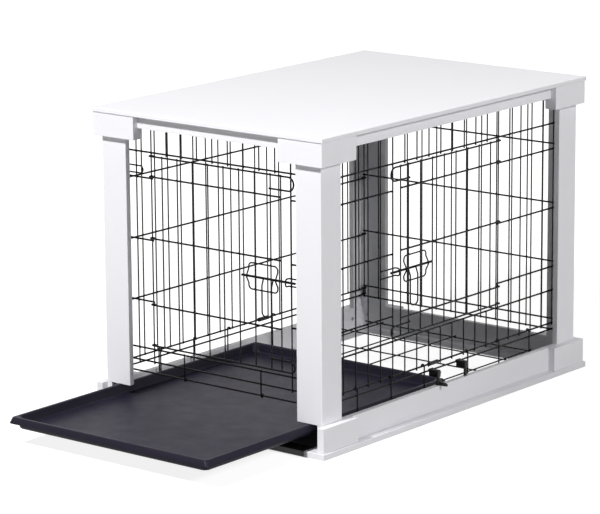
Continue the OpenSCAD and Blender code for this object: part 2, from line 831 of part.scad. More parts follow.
// U-shaped wires that lock the front panel upright at its two top corners
module corner_locks() {
    outer = crate_hw + corner_n + post_d / 2;
    z = low_z + lock_rise;
    color("black") on_front() for (side = [-1, 1])
        mirror([side < 0 ? 1 : 0, 0, 0])
            turned_wire(outer, door_half + wire_pitch / 2, outer, z, z - lock_h, keeper_n, latch_d);
}

// Plastic sleeves on the corner posts, between the two lowest side wires
module corner_sleeves() {
    z0 = low_z + side_low + row_d / 2 + door_play;
    z1 = low_z + side_second - row_d / 2 - door_play;
    color("black") for (sx = [-1, 1], sy = [-1, 1])
        at_corner(sx, sy) translate([crate_hw + corner_n, crate_hl, z0]) difference() {
            cylinder(d = post_d + 2 * sleeve_fit + 2 * sleeve_wall, h = z1 - z0);
            translate([0, 0, -eps]) cylinder(d = post_d + 2 * sleeve_fit, h = z1 - z0 + 2 * eps);
        }
}

module front_door() {
    color("black") on_front()
        door_wires(low_z + front_step + door_gap_low, [for (r = front_door_rows) low_z + r],
                   low_z + front_head - door_gap_top);
}

module side_door() {
    color("black") on_right()
        door_wires(low_z + side_step + door_gap_low, [for (r = side_door_rows) low_z + r],
                   low_z + side_head - door_gap_top);
}

front_bolt_z = low_z + front_bolt_rise;
side_bolt_z = low_z + side_bolt_rise;

module front_door_guide() { color("black") union() { on_front() guide_wire(front_bolt_z); } }
module side_door_guide() { color("black") union() { on_right() guide_wire(side_bolt_z); } }
module front_keeper() { color("black") union() { on_front() keeper_wire(front_bolt_z); } }
module side_keeper() { color("black") union() { on_right() keeper_wire(side_bolt_z); } }
module front_bolt() { color("black") on_front() bolt_rod(front_bolt_z); }
module side_bolt() { color("black") on_right() bolt_rod(side_bolt_z); }
module front_bolt_handle() { color("black") union() { on_front() handle_wire(front_bolt_z); } }
module side_bolt_handle() { color("black") union() { on_right() handle_wire(side_bolt_z); } }

// Plate with round corners, with its underside on the ground
module plate(hw, y0, y1, r, h) {
    linear_extrude(h) union() {
        translate([-hw + r, y0]) square([2 * (hw - r), y1 - y0]);
        translate([-hw, y0 + r]) square([2 * hw, y1 - y0 - 2 * r]);
        for (x = [-hw + r, hw - r], y = [y0 + r, y1 - r]) translate([x, y]) circle(r = r);
    }
}

module pan() {
    y0 = pan_front;
    y1 = pan_front + pan_l;
    hollow = rim_step + pan_wall;
    color("dimgray") difference() {
        union() {
            translate([0, 0, pan_z + pan_h - rim_h]) plate(pan_hw, y0, y1, pan_r, rim_h);
            translate([0, 0, pan_z])
                plate(pan_hw - rim_step, y0 + rim_step, y1 - rim_step, pan_r, pan_h - rim_h + eps);
        }
        translate([0, 0, pan_z + pan_wall])
            plate(pan_hw - hollow, y0 + hollow, y1 - hollow, pan_r, pan_h);
    }
}

// Clips that hold the crate's lowest side wire to the rail
clip_x = leg_x - board_t / 2;
wire_x = crate_hw - row_n;
clip_head_z = low_z + side_low + row_d / 2 + sleeve_wall - clip_head_h;

module clip_head(y) {
    reach = wire_x - row_d / 2 - sleeve_wall;
    difference() {
        board(reach, clip_x + clip_post_d / 2, y - clip_w / 2, y + clip_w / 2,
              clip_head_z, clip_head_z + clip_head_h);
        translate([wire_x, y - clip_w, low_z + side_low]) rotate([-90, 0, 0])
            cylinder(d = row_d + 2 * sleeve_fit, h = 2 * clip_w);
    }
}

module side_clip(y) {
    color("black") union() {
        clip_head(y);
        translate([clip_x, y, rail_top]) cylinder(d = clip_post_d, h = clip_head_z - rail_top + eps);
    }
}

module side_clip_front() { side_clip(-clip_place); }
module side_clip_rear() { side_clip(clip_place); }

// Lever that turns on the post of the front clip, over the rail's top
module clip_lever() {
    z0 = rail_top + handle_play;
    hub_d = clip_post_d + 2 * lever_fit + 2 * sleeve_wall;
    root = hub_d / 2 - lever_step;
    arm_h = lever_h - lever_step;
    color("black") translate([clip_x, -clip_place, z0]) difference() {
        union() {
            cylinder(d = hub_d, h = lever_h);
            translate([0, lever_w / 2, 0]) rotate([90, 0, 0]) linear_extrude(lever_w)
                polygon([[0, 0], [lever_l, 0], [lever_l, lever_tip_h], [root, arm_h], [0, arm_h]]);
        }
        translate([0, 0, -eps]) cylinder(d = clip_post_d + 2 * lever_fit, h = lever_h + 2 * eps);
    }
}

// Plastic sleeve on the second side wire
module wire_sleeve() {
    color("black") translate([wire_x, -wire_pitch - sleeve_l / 2, low_z + side_second])
        rotate([-90, 0, 0]) difference() {
            cylinder(d = row_d + 2 * sleeve_fit + 2 * sleeve_wall, h = sleeve_l);
            translate([0, 0, -eps]) cylinder(d = row_d + 2 * sleeve_fit, h = sleeve_l + 2 * eps);
        }
}

top_panel();
capital_front_left();
capital_front_right();
capital_back_left();
capital_back_right();
apron_front();
apron_back();
apron_left();
apron_right();
leg_front_left();
leg_front_right();
leg_back_left();
leg_back_right();
base_board();
front_sill();
rail_left();
rail_right();
rail_back();
plinth_front_left();
plinth_front_right();
plinth_back_left();
plinth_back_right();
leg_dowels();
apron_dowels();
top_screws();
base_screws();
plinth_screws();
front_panel();
right_panel();
left_panel();
back_panel();
roof_panel();
floor_grid();
crate_feet();
corner_locks();
corner_sleeves();
front_door();
side_door();
front_door_guide();
side_door_guide();
front_keeper();
side_keeper();
front_bolt();
side_bolt();
front_bolt_handle();
side_bolt_handle();
pan();
side_clip_front();
side_clip_rear();
clip_lever();
wire_sleeve();
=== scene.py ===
"""Looks of the pet crate: painted cover, coated wires, plastic pan and clips, and the studio round it."""

import logging
import math
from dataclasses import dataclass
from enum import Enum
from typing import ClassVar

import bmesh
import bpy
from bmesh.types import BMEdge, BMesh, BMVert
from bpy.types import ID, Material, Mesh, Node, NodeSocket, NodeTree, Object
from mathutils import Matrix, Vector


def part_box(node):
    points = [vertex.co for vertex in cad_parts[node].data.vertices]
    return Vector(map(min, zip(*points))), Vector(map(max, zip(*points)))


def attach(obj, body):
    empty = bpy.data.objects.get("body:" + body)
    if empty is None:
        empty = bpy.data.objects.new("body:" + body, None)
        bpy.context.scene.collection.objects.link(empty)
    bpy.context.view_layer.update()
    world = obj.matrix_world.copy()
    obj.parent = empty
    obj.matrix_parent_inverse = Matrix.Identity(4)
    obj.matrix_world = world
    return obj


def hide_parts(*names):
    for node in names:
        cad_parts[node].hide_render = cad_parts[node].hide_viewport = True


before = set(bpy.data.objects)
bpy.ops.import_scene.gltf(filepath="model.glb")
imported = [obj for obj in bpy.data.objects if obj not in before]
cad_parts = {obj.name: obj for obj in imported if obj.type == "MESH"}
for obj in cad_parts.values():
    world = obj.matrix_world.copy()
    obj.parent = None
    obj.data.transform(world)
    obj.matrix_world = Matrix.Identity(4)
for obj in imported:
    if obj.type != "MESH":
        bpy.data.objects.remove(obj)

LOG = logging.getLogger("pet_crate")
MM = 0.001
# Distance in metres under which two heights or two points are the same
TINY = 1e-6
# Angles in degrees under which edges look smooth, on moulded pieces and on welds
MOULDED, WELDED = 35.0, 180.0
# Types of the sockets of the shared node groups
VECTOR, COLOUR, FLOAT = "NodeSocketVector", "NodeSocketColor", "NodeSocketFloat"
# Where a colour Mix node has its two colours among its inputs, and its result among its outputs
MIX_FIRST, MIX_SECOND, MIX_RESULT = 6, 7, 2
Numbers = tuple[float, ...]
Point = tuple[float, float]
Place = tuple[float, float, float]
Colour = tuple[float, float, float]
# A wire's place across its run, and its two ends
Span = tuple[float, float, float]
# A ring of the pan: inset from the rim's edge, height over the pan's underside, corner radius
Ring = tuple[float, float, float]


class Body(Enum):
    """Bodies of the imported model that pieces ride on."""

    FIXED = "cover_and_crate"
    PAN = "pan"
    FRONT_DOOR = "front_door"
    SIDE_DOOR = "side_door"
    CLIP_LEVER = "clip_lever"


class Slot(Enum):
    """Material slots of the record."""

    WHITE_BOARD = "white_board"
    BLACK_SILL = "black_sill"
    DOWEL_WOOD = "dowel_wood"
    SCREW_STEEL = "screw_steel"
    BLACK_WIRE = "black_wire"
    FOOT_RUBBER = "foot_rubber"
    BLACK_PLASTIC = "black_plastic"
    PAN_PLASTIC = "pan_plastic"


class Wall(Enum):
    """Walls of the wire crate. Each wall's s runs along it and n points out of it."""

    FRONT = "front"
    BACK = "back"
    LEFT = "left"
    RIGHT = "right"


class Bench:
    """Adds and feeds the nodes of one node tree."""

    def __init__(self, tree: NodeTree) -> None:
        """Keeps the tree to work on."""
        self.tree = tree

    def add(self, kind: str, values: dict[str | int, object] | None = None, **settings: object) -> Node:
        """Adds a node.

        Args:
            kind: the node's type name.
            values: input names or numbers, each with a constant or the output that feeds it.
            settings: attributes of the node.

        Returns:
            The new node.
        """
        node = self.tree.nodes.new(kind)
        for name, value in settings.items():
            setattr(node, name, value)
        self.feed(node, values or {})
        return node

    def feed(self, node: Node, values: dict[str | int, object]) -> None:
        """Sets a node's inputs, or links them to the outputs that feed them.

        Args:
            node: the node.
            values: input names or numbers, each with a constant or the output that feeds it.
        """
        for key, value in values.items():
            if isinstance(value, NodeSocket):
                self.tree.links.new(value, node.inputs[key])
            else:
                node.inputs[key].default_value = value

    def combine(self, operation: str, first: NodeSocket | float, second: NodeSocket | float) -> NodeSocket:
        """Joins two numbers, or the outputs that give them, with a Math node."""
        return self.add("ShaderNodeMath", {0: first, 1: second}, operation=operation).outputs[0]


class Effects:
    """Surface effects that several finishes share, each a node group built once."""

    def __init__(self) -> None:
        """Builds the groups."""
        self.tone = self._tone()
        self.gloss = self._gloss()
        self.relief = self._relief()
        self.dust_and_top_light = self._dust_and_top_light()

    @staticmethod
    def _opened(name: str, **inputs: str) -> tuple[Bench, Node]:
        """Makes an empty group that reads a Vector, a Scale and more.

        Args:
            name: the group's name.
            inputs: names of its other inputs, and their socket types.

        Returns:
            The bench and the group's input node.
        """
        bench = Bench(bpy.data.node_groups.new(name, "ShaderNodeTree"))
        for label, kind in {"Vector": VECTOR, "Scale": FLOAT, **inputs}.items():
            bench.tree.interface.new_socket(label, in_out="INPUT", socket_type=kind)
        return bench, bench.add("NodeGroupInput")

    @staticmethod
    def _closed(bench: Bench, label: str, kind: str, result: NodeSocket) -> NodeTree:
        """Gives a group its output.

        Args:
            bench: the group's bench.
            label: the output's name.
            kind: the output's socket type.
            result: the socket that feeds it.

        Returns:
            The group.
        """
        bench.tree.interface.new_socket(label, in_out="OUTPUT", socket_type=kind)
        bench.add("NodeGroupOutput", {label: result})
        return bench.tree

    @staticmethod
    def _noise(bench: Bench, given: Node, **values: float) -> NodeSocket:
        """Adds a noise at the group's Vector and Scale, with its other values."""
        places = {name: given.outputs[name] for name in ("Vector", "Scale")}
        return bench.add("ShaderNodeTexNoise", places | values).outputs[0]

    def _swing(self, bench: Bench, given: Node, detail: float) -> NodeSocket:
        """Adds a noise of some detail that swings from about -Spread to Spread."""
        centred = bench.combine("SUBTRACT", self._noise(bench, given, Detail=detail), 0.5)
        return bench.combine("MULTIPLY", bench.combine("MULTIPLY", centred, 2.0), given.outputs["Spread"])

    def _tone(self) -> NodeTree:
        """Builds the slight change of a colour over a surface."""
        bench, given = self._opened("coat_tone", Colour=COLOUR, Spread=FLOAT)
        factor = bench.combine("ADD", self._swing(bench, given, 3.0), 1.0)
        scaled = bench.add("ShaderNodeVectorMath", {0: given.outputs["Colour"], "Scale": factor},
                           operation="SCALE")
        return self._closed(bench, "Colour", COLOUR, scaled.outputs[0])

    def _gloss(self) -> NodeTree:
        """Builds the slight change of roughness over a surface."""
        bench, given = self._opened("coat_gloss", Middle=FLOAT, Spread=FLOAT)
        rough = bench.combine("ADD", self._swing(bench, given, 4.0), given.outputs["Middle"])
        return self._closed(bench, "Roughness", FLOAT, rough)

    def _relief(self) -> NodeTree:
        """Builds a fine uneven skin, such as orange peel or moulded grain."""
        bench, given = self._opened("skin_relief", Depth=FLOAT)
        height = self._noise(bench, given, Detail=4.0, Roughness=0.6)
        bump = bench.add("ShaderNodeBump", {
            "Strength": 1.0, "Distance": given.outputs["Depth"], "Height": height})
        return self._closed(bench, "Normal", VECTOR, bump.outputs[0])

    def _dust_and_top_light(self) -> NodeTree:
        """Builds the mask of dust and of painted top light: patchy, and on faces that look up."""
        # Where the mixed-in colour is lighter than the surface, as on the pan, this mask paints light on
        # faces that look up.
        bench, given = self._opened("dust_and_top_light_mask", Amount=FLOAT)
        place = bench.add("ShaderNodeNewGeometry")
        parts = bench.add("ShaderNodeSeparateXYZ", {0: place.outputs["Normal"]})
        up = bench.combine("MAXIMUM", parts.outputs["Z"], 0.0)
        patch = bench.combine("MULTIPLY", self._noise(bench, given, Detail=5.0), up)
        mask = bench.combine("MULTIPLY", patch, given.outputs["Amount"])
        return self._closed(bench, "Mask", FLOAT, mask)


@dataclass(frozen=True)
class Finish:
    """A finish of one material slot. Lengths are in metres and scales in waves per metre."""

    name: str
    colour: Colour
    tone_spread: float = 0.02
    tone_scale: float = 6.0
    roughness: float = 0.4
    gloss_spread: float = 0.05
    gloss_scale: float = 20.0
    relief_scale: float = 600.0
    relief_depth: float = 0.00003
    specular: float = 0.5
    specular_tint: Colour = (1.0, 1.0, 1.0)
    metallic: float = 0.0
    dust_and_top_light: float = 0.0
    dust_and_top_light_scale: float = 24.0
    dust_and_top_light_colour: Colour = (0.5, 0.5, 0.5)
    stretch: Place = (1.0, 1.0, 1.0)

    def material(self, effects: Effects) -> Material:
        """Builds the finish's material.

        Args:
            effects: the shared node groups.

        Returns:
            The material.
        """
        made = bpy.data.materials.new(self.name)
        made.use_nodes = True
        made.diffuse_color = (*self.colour, 1.0)
        bench = Bench(made.node_tree)
        spot = self._spot(bench)
        bench.feed(made.node_tree.nodes["Principled BSDF"], {
            "Base Color": self._colour(bench, effects, spot),
            "Roughness": self._group(bench, effects.gloss, Vector=spot, Middle=self.roughness,
                                     Spread=self.gloss_spread, Scale=self.gloss_scale),
            "Normal": self._group(bench, effects.relief, Vector=spot, Scale=self.relief_scale,
                                  Depth=self.relief_depth),
            "Metallic": self.metallic,
            "Specular IOR Level": self.specular,
            "Specular Tint": (*self.specular_tint, 1.0)})
        return made

    def _spot(self, bench: Bench) -> NodeSocket:
        """Gives the object coordinates, stretched for a pattern that runs one way."""
        place = bench.add("ShaderNodeTexCoord").outputs["Object"]
        return bench.add("ShaderNodeMapping", {"Vector": place, "Scale": self.stretch}).outputs[0]

    @staticmethod
    def _group(bench: Bench, tree: NodeTree, **values: object) -> NodeSocket:
        """Places a shared group with its inputs, and gives its output."""
        return bench.add("ShaderNodeGroup", values, node_tree=tree).outputs[0]

    def _colour(self, bench: Bench, effects: Effects, spot: NodeSocket) -> NodeSocket:
        """Gives the finish's colour over the surface, with its dust and its painted top light.

        Args:
            bench: the material's bench.
            effects: the shared node groups.
            spot: the coordinates.

        Returns:
            The colour's socket.
        """
        tone = self._group(bench, effects.tone, Vector=spot, Colour=(*self.colour, 1.0),
                           Spread=self.tone_spread, Scale=self.tone_scale)
        if self.dust_and_top_light == 0.0:
            return tone
        # Faces that look up get a mixed-in colour: grey dust on the wires, a lighter violet painted light
        # on the pan.
        dust_and_top_light = self._group(bench, effects.dust_and_top_light, Vector=spot, Amount=self.dust_and_top_light, Scale=self.dust_and_top_light_scale)
        mix = bench.add("ShaderNodeMix", data_type="RGBA")
        bench.feed(mix, {"Factor": dust_and_top_light, MIX_FIRST: tone, MIX_SECOND: (*self.dust_and_top_light_colour, 1.0)})
        return mix.outputs[MIX_RESULT]


FINISHES: dict[Slot, Finish] = {
    Slot.WHITE_BOARD: Finish(
        "white_satin_paint", (0.84, 0.835, 0.87), tone_spread=0.012, tone_scale=5.0, roughness=0.36,
        gloss_scale=9.0, relief_scale=420.0, relief_depth=0.00005, specular=0.35),
    Slot.BLACK_SILL: Finish(
        "black_satin_paint", (0.006, 0.006, 0.007), roughness=0.42, relief_scale=420.0,
        relief_depth=0.00006),
    Slot.DOWEL_WOOD: Finish(
        "plain_birch", (0.55, 0.36, 0.19), tone_spread=0.18, tone_scale=160.0, roughness=0.6,
        relief_scale=900.0, relief_depth=0.0001, stretch=(1.0, 1.0, 0.12)),
    Slot.SCREW_STEEL: Finish(
        "zinc_plated_steel", (0.52, 0.52, 0.55), tone_spread=0.06, tone_scale=200.0, roughness=0.3,
        gloss_spread=0.08, gloss_scale=400.0, metallic=1.0),
    Slot.BLACK_WIRE: Finish(
        "glossy_black_coat", (0.003, 0.003, 0.0033), tone_spread=0.15, tone_scale=40.0, roughness=0.25,
        gloss_scale=90.0, relief_scale=260.0, relief_depth=0.00006, specular=0.12, dust_and_top_light=0.005,
        dust_and_top_light_scale=160.0, dust_and_top_light_colour=(0.1, 0.1, 0.11)),
    Slot.FOOT_RUBBER: Finish(
        "grey_black_rubber", (0.02, 0.02, 0.021), roughness=0.75, specular=0.3, relief_scale=1500.0,
        relief_depth=0.00006),
    Slot.BLACK_PLASTIC: Finish(
        "black_clip_plastic", (0.004, 0.004, 0.0045), specular=0.3, relief_scale=1400.0,
        relief_depth=0.00004),
    # The pan's lighter violet colour on faces that look up is painted light on its floor and rim top.
    Slot.PAN_PLASTIC: Finish(
        "grained_black_pan", (0.006, 0.0055, 0.0105), tone_spread=0.2, tone_scale=14.0, roughness=0.42,
        gloss_spread=0.08, gloss_scale=24.0, relief_scale=900.0, relief_depth=0.0001, specular=0.15,
        specular_tint=(0.85, 0.78, 1.0), dust_and_top_light=0.1, dust_and_top_light_scale=56.0, dust_and_top_light_colour=(0.12, 0.098, 0.19)),
}


def settled(name: str, mesh: BMesh) -> Mesh:
    """Turns a working mesh into one that an object can hold, and frees it.

    Args:
        name: the new mesh's name.
        mesh: the working mesh.

    Returns:
        The new mesh.
    """
    data = bpy.data.meshes.new(name)
    mesh.to_mesh(data)
    mesh.free()
    return data


def placed(name: str, data: ID) -> Object:
    """Makes an object at the origin and links it to the scene.

    Args:
        name: the object's name.
        data: what the object holds.

    Returns:
        The object.
    """
    made = bpy.data.objects.new(name, data)
    bpy.context.scene.collection.objects.link(made)
    return made


def limits(node: str) -> tuple[Vector, Vector]:
    """Gives a CAD node's lowest and highest corner, in mm."""
    low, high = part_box(node)
    return low / MM, high / MM


class Workshop:
    """Turns meshes into finished pieces of the object."""

    def __init__(self) -> None:
        """Builds every finish's material."""
        effects = Effects()
        self.materials = {slot: finish.material(effects) for slot, finish in FINISHES.items()}

    def piece(self, name: str, mesh: BMesh, slot: Slot, body: Body,
              stands_for: tuple[str, ...] = (), smooth_under: float = 0.0) -> None:
        """Makes a finished piece from a mesh.

        Args:
            name: the piece's name.
            mesh: its mesh, in metres and in its place. It is freed.
            slot: its material slot.
            body: the body it rides on.
            stands_for: CAD nodes that it replaces.
            smooth_under: angle in degrees under which edges look smooth, or 0 for flat faces.
        """
        bmesh.ops.recalc_face_normals(mesh, faces=mesh.faces)
        data = settled(name, mesh)
        if smooth_under > 0.0:
            data.shade_smooth()
            data.set_sharp_from_angle(angle=math.radians(smooth_under))
        made = placed(name, data)
        data.materials.append(self.materials[slot])
        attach(made, body.value)
        if stands_for:
            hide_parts(*stands_for)
        LOG.info("%s: %d faces, on %s", name, len(data.polygons), body.value)

    def dress(self, node: str, slot: Slot) -> None:
        """Gives a CAD node its finish.

        Args:
            node: the node's name.
            slot: its material slot.
        """
        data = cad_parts[node].data
        data.materials.clear()
        data.materials.append(self.materials[slot])
        LOG.info("%s dressed with %s", node, FINISHES[slot].name)


def prism(outline: list[Point], z0: float, z1: float) -> BMesh:
    """Draws an outline up into a prism.

    Args:
        outline: its corners in mm.
        z0: height of its underside in mm.
        z1: height of its top in mm.

    Returns:
        The prism's mesh, in metres.
    """
    mesh = bmesh.new()
    corners = [mesh.verts.new((x * MM, y * MM, z0 * MM)) for x, y in outline]
    foot = mesh.faces.new(corners)
    drawn = bmesh.ops.extrude_face_region(mesh, geom=[foot])
    top = [part for part in drawn["geom"] if isinstance(part, BMVert)]
    bmesh.ops.translate(mesh, verts=top, vec=(0.0, 0.0, (z1 - z0) * MM))
    bmesh.ops.recalc_face_normals(mesh, faces=mesh.faces)
    return mesh


def rounded(mesh: BMesh, radius: float, segments: int = 2,
            edges: list[BMEdge] | None = None) -> BMesh:
    """Rounds the edges of a mesh.

    Args:
        mesh: the mesh.
        radius: the rounding in mm.
        segments: steps in each rounding.
        edges: the edges to round, or None for all.

    Returns:
        The same mesh.
    """
    bmesh.ops.bevel(mesh, geom=list(edges or mesh.edges), offset=radius * MM, offset_type="OFFSET",
                    segments=segments, profile=0.5, affect="EDGES", material=-1, clamp_overlap=True)
    return mesh


def rectangle(x0: float, x1: float, y0: float, y1: float) -> list[Point]:
    """Gives the corners of a rectangle, in mm."""
    return [(x0, y0), (x1, y0), (x1, y1), (x0, y1)]


def merged(target: BMesh, part: BMesh) -> None:
    """Adds one mesh to another and frees it.

    Args:
        target: the mesh that grows.
        part: the mesh that is added.
    """
    carrier = settled("carrier", part)
    target.from_mesh(carrier)
    bpy.data.meshes.remove(carrier)


@dataclass(frozen=True)
class Countersink:
    """A round pocket for a screw's head: its mouth's middle, its way in and its sizes, in mm."""

    mouth: Place
    way: Place
    width: float = 8.2
    depth: float = 3.2
    proud: float = 1.0
    sides: int = 24

    def cutter(self) -> BMesh:
        """Gives the pocket's cutter, which starts a little outside the board."""
        mesh = bmesh.new()
        way = Vector(self.way)
        middle = (Vector(self.mouth) + way * (self.depth - self.proud) / 2.0) * MM
        turn = way.to_track_quat("Z", "Y").to_matrix().to_4x4()
        radius = self.width / 2 * MM
        bmesh.ops.create_cone(mesh, cap_ends=True, segments=self.sides, radius1=radius, radius2=radius,
                              depth=(self.depth + self.proud) * MM,
                              matrix=Matrix.Translation(middle) @ turn)
        return mesh


def pocketed(board: BMesh, pockets: list[Countersink]) -> BMesh:
    """Cuts screw pockets out of a board.

    Args:
        board: the board's mesh. It is freed.
        pockets: the pockets.

    Returns:
        The board with its pockets.
    """
    cutters = bmesh.new()
    for pocket in pockets:
        merged(cutters, pocket.cutter())
    whole = placed("board", settled("board", board))
    tools = placed("cutters", settled("cutters", cutters))
    cut = whole.modifiers.new("pockets", "BOOLEAN")
    cut.operation = "DIFFERENCE"
    cut.solver = "EXACT"
    cut.object = tools
    shown = whole.evaluated_get(bpy.context.evaluated_depsgraph_get())
    result = bmesh.new()
    result.from_mesh(shown.data)
    for made in (whole, tools):
        data = made.data
        bpy.data.objects.remove(made)
        bpy.data.meshes.remove(data)
    return result


@dataclass
class WoodenCover:
    """White table that stands over the wire crate. Sizes are in mm."""

    shop: Workshop
    capital_arm: float = 107.0
    capital_wall: float = 28.0
    leg_face: float = 61.0
    leg_wall: float = 12.0
    plinth_arm: float = 107.0
    plinth_wall: float = 15.0
    base_strip: float = 49.0
    edge_round: float = 0.9
    top_round: float = 1.4
    capital_step: float = 1.4
    top_screw_share: float = 0.75
    plinth_screw_shares: Point = (0.25, 0.75)
    plinth_screw_z: float = 36.5
    base_screws: tuple[Point, ...] = (
        (-269, -255), (-269, 0), (-269, 255), (269, -255), (269, 0), (269, 255),
        (-137.5, 419), (137.5, 419))

    def build(self) -> None:
        """Builds every board, and dresses the hidden fasteners."""
        self._board("top_panel", radius=self.top_round, segments=3)
        for node in ("apron_front", "apron_back", "apron_left", "apron_right", "rail_back",
                     "plinth_front_left", "plinth_front_right"):
            self._board(node)
        self._board("front_sill", slot=Slot.BLACK_SILL)
        for end, y in (("front", -1), ("back", 1)):
            for side, x in (("left", -1), ("right", 1)):
                self._corner(f"capital_{end}_{side}", x, y, self.capital_arm, self.capital_wall,
                             self.capital_step, screwed=True)
                self._corner(f"leg_{end}_{side}", x, y, self.leg_face, self.leg_wall)
        for side, x in (("left", -1), ("right", 1)):
            self._corner(f"plinth_back_{side}", x, 1, self.plinth_arm, self.plinth_wall)
            self._rail(f"rail_{side}", x)
        self._base()
        for node in ("leg_dowels", "apron_dowels"):
            self.shop.dress(node, Slot.DOWEL_WOOD)
        for node in ("top_screws", "base_screws", "plinth_screws"):
            self.shop.dress(node, Slot.SCREW_STEEL)

    def _board(self, node: str, outline: list[Point] | None = None,
               pockets: list[Countersink] | None = None, slot: Slot = Slot.WHITE_BOARD,
               radius: float | None = None, segments: int = 2) -> None:
        """Builds a board in its node's place.

        Args:
            node: the node that it replaces.
            outline: its corners seen from above, or None for those of the node's box.
            pockets: its screws' pockets.
            slot: its material slot.
            radius: rounding of its edges, or None for the usual one.
            segments: steps in the rounding.
        """
        low, high = limits(node)
        outline = outline or rectangle(low.x, high.x, low.y, high.y)
        mesh = rounded(prism(outline, low.z, high.z), radius or self.edge_round, segments)
        if pockets:
            mesh = pocketed(mesh, pockets)
        self.shop.piece(f"{node}_board", mesh, slot, Body.FIXED, (node,))

    def _corner(self, node: str, sx: int, sy: int, arm: float, wall: float, step: float = 0.0,
                screwed: bool = False) -> None:
        """Builds an L-shaped corner piece in its node's place.

        Args:
            node: the node that it replaces.
            sx: side of the corner along X.
            sy: side of the corner along Y.
            arm: length of its arms, from the node's outer faces.
            wall: thickness of its arms, from the node's outer faces.
            step: how far it stands back from the node's outer faces.
            screwed: whether its underside has the pockets of two screws.
        """
        low, high = limits(node)
        x = high.x - step if sx > 0 else low.x + step
        y = high.y - step if sy > 0 else low.y + step
        far, near = arm - step, wall - step
        steps = ((0, 0), (far, 0), (far, near), (near, near), (near, far), (0, far))
        outline = [(x - sx * a, y - sy * b) for a, b in steps]
        pockets = []
        if screwed:
            far, near = arm * self.top_screw_share - step, wall / 2 - step
            pockets = [Countersink((x - sx * a, y - sy * b, low.z), (0, 0, 1))
                       for a, b in ((far, near), (near, far))]
        self._board(node, outline, pockets)

    def _rail(self, node: str, side: int) -> None:
        """Builds a side rail, with the pockets of the plinths' screws in its inner face.

        Args:
            node: the node that it replaces.
            side: its side along X.
        """
        low, high = limits(node)
        inner = low.x if side > 0 else high.x
        end = high.y + self.plinth_wall
        spots = [sy * (end - self.plinth_arm * share) for sy in (-1, 1)
                 for share in self.plinth_screw_shares]
        self._board(node, pockets=[Countersink((inner, y, self.plinth_screw_z), (side, 0, 0))
                                   for y in spots])

    def _base(self) -> None:
        """Builds the U-shaped base board, with the rails' screw pockets in its underside."""
        low, high = limits("base_board")
        inner_x, inner_y = high.x - self.base_strip, high.y - self.base_strip
        outline = [(low.x, low.y), (-inner_x, low.y), (-inner_x, inner_y), (inner_x, inner_y),
                   (inner_x, low.y), (high.x, low.y), (high.x, high.y), (low.x, high.y)]
        self._board("base_board", outline,
                    [Countersink((x, y, low.z), (0, 0, 1)) for x, y in self.base_screws])


@dataclass
class WireMesh:
    """Wires of one wall or door that are welded where they cross. Sizes are in mm.

    Uprights are (s, z low, z high) and rows are (z, s low, s high).
    """

    name: str
    wall: Wall
    body: Body
    weld_n: float
    uprights: list[Span]
    rows: list[Span]
    reach: ClassVar[float] = 0.5

    def crossings(self) -> list[Point]:
        """Gives (s, z) of each place where an upright and a row cross."""
        return [(s, z) for s, z0, z1 in self.uprights for z, s0, s1 in self.rows
                if z0 - self.reach <= z <= z1 + self.reach and s0 - self.reach <= s <= s1 + self.reach]


@dataclass(frozen=True)
class DoorPlan:
    """A door's wall and body, and the heights of its wires and its bolt over the floor, in mm."""

    name: str
    wall: Wall
    body: Body
    low: float
    mids: Numbers
    top: float
    bolt: float


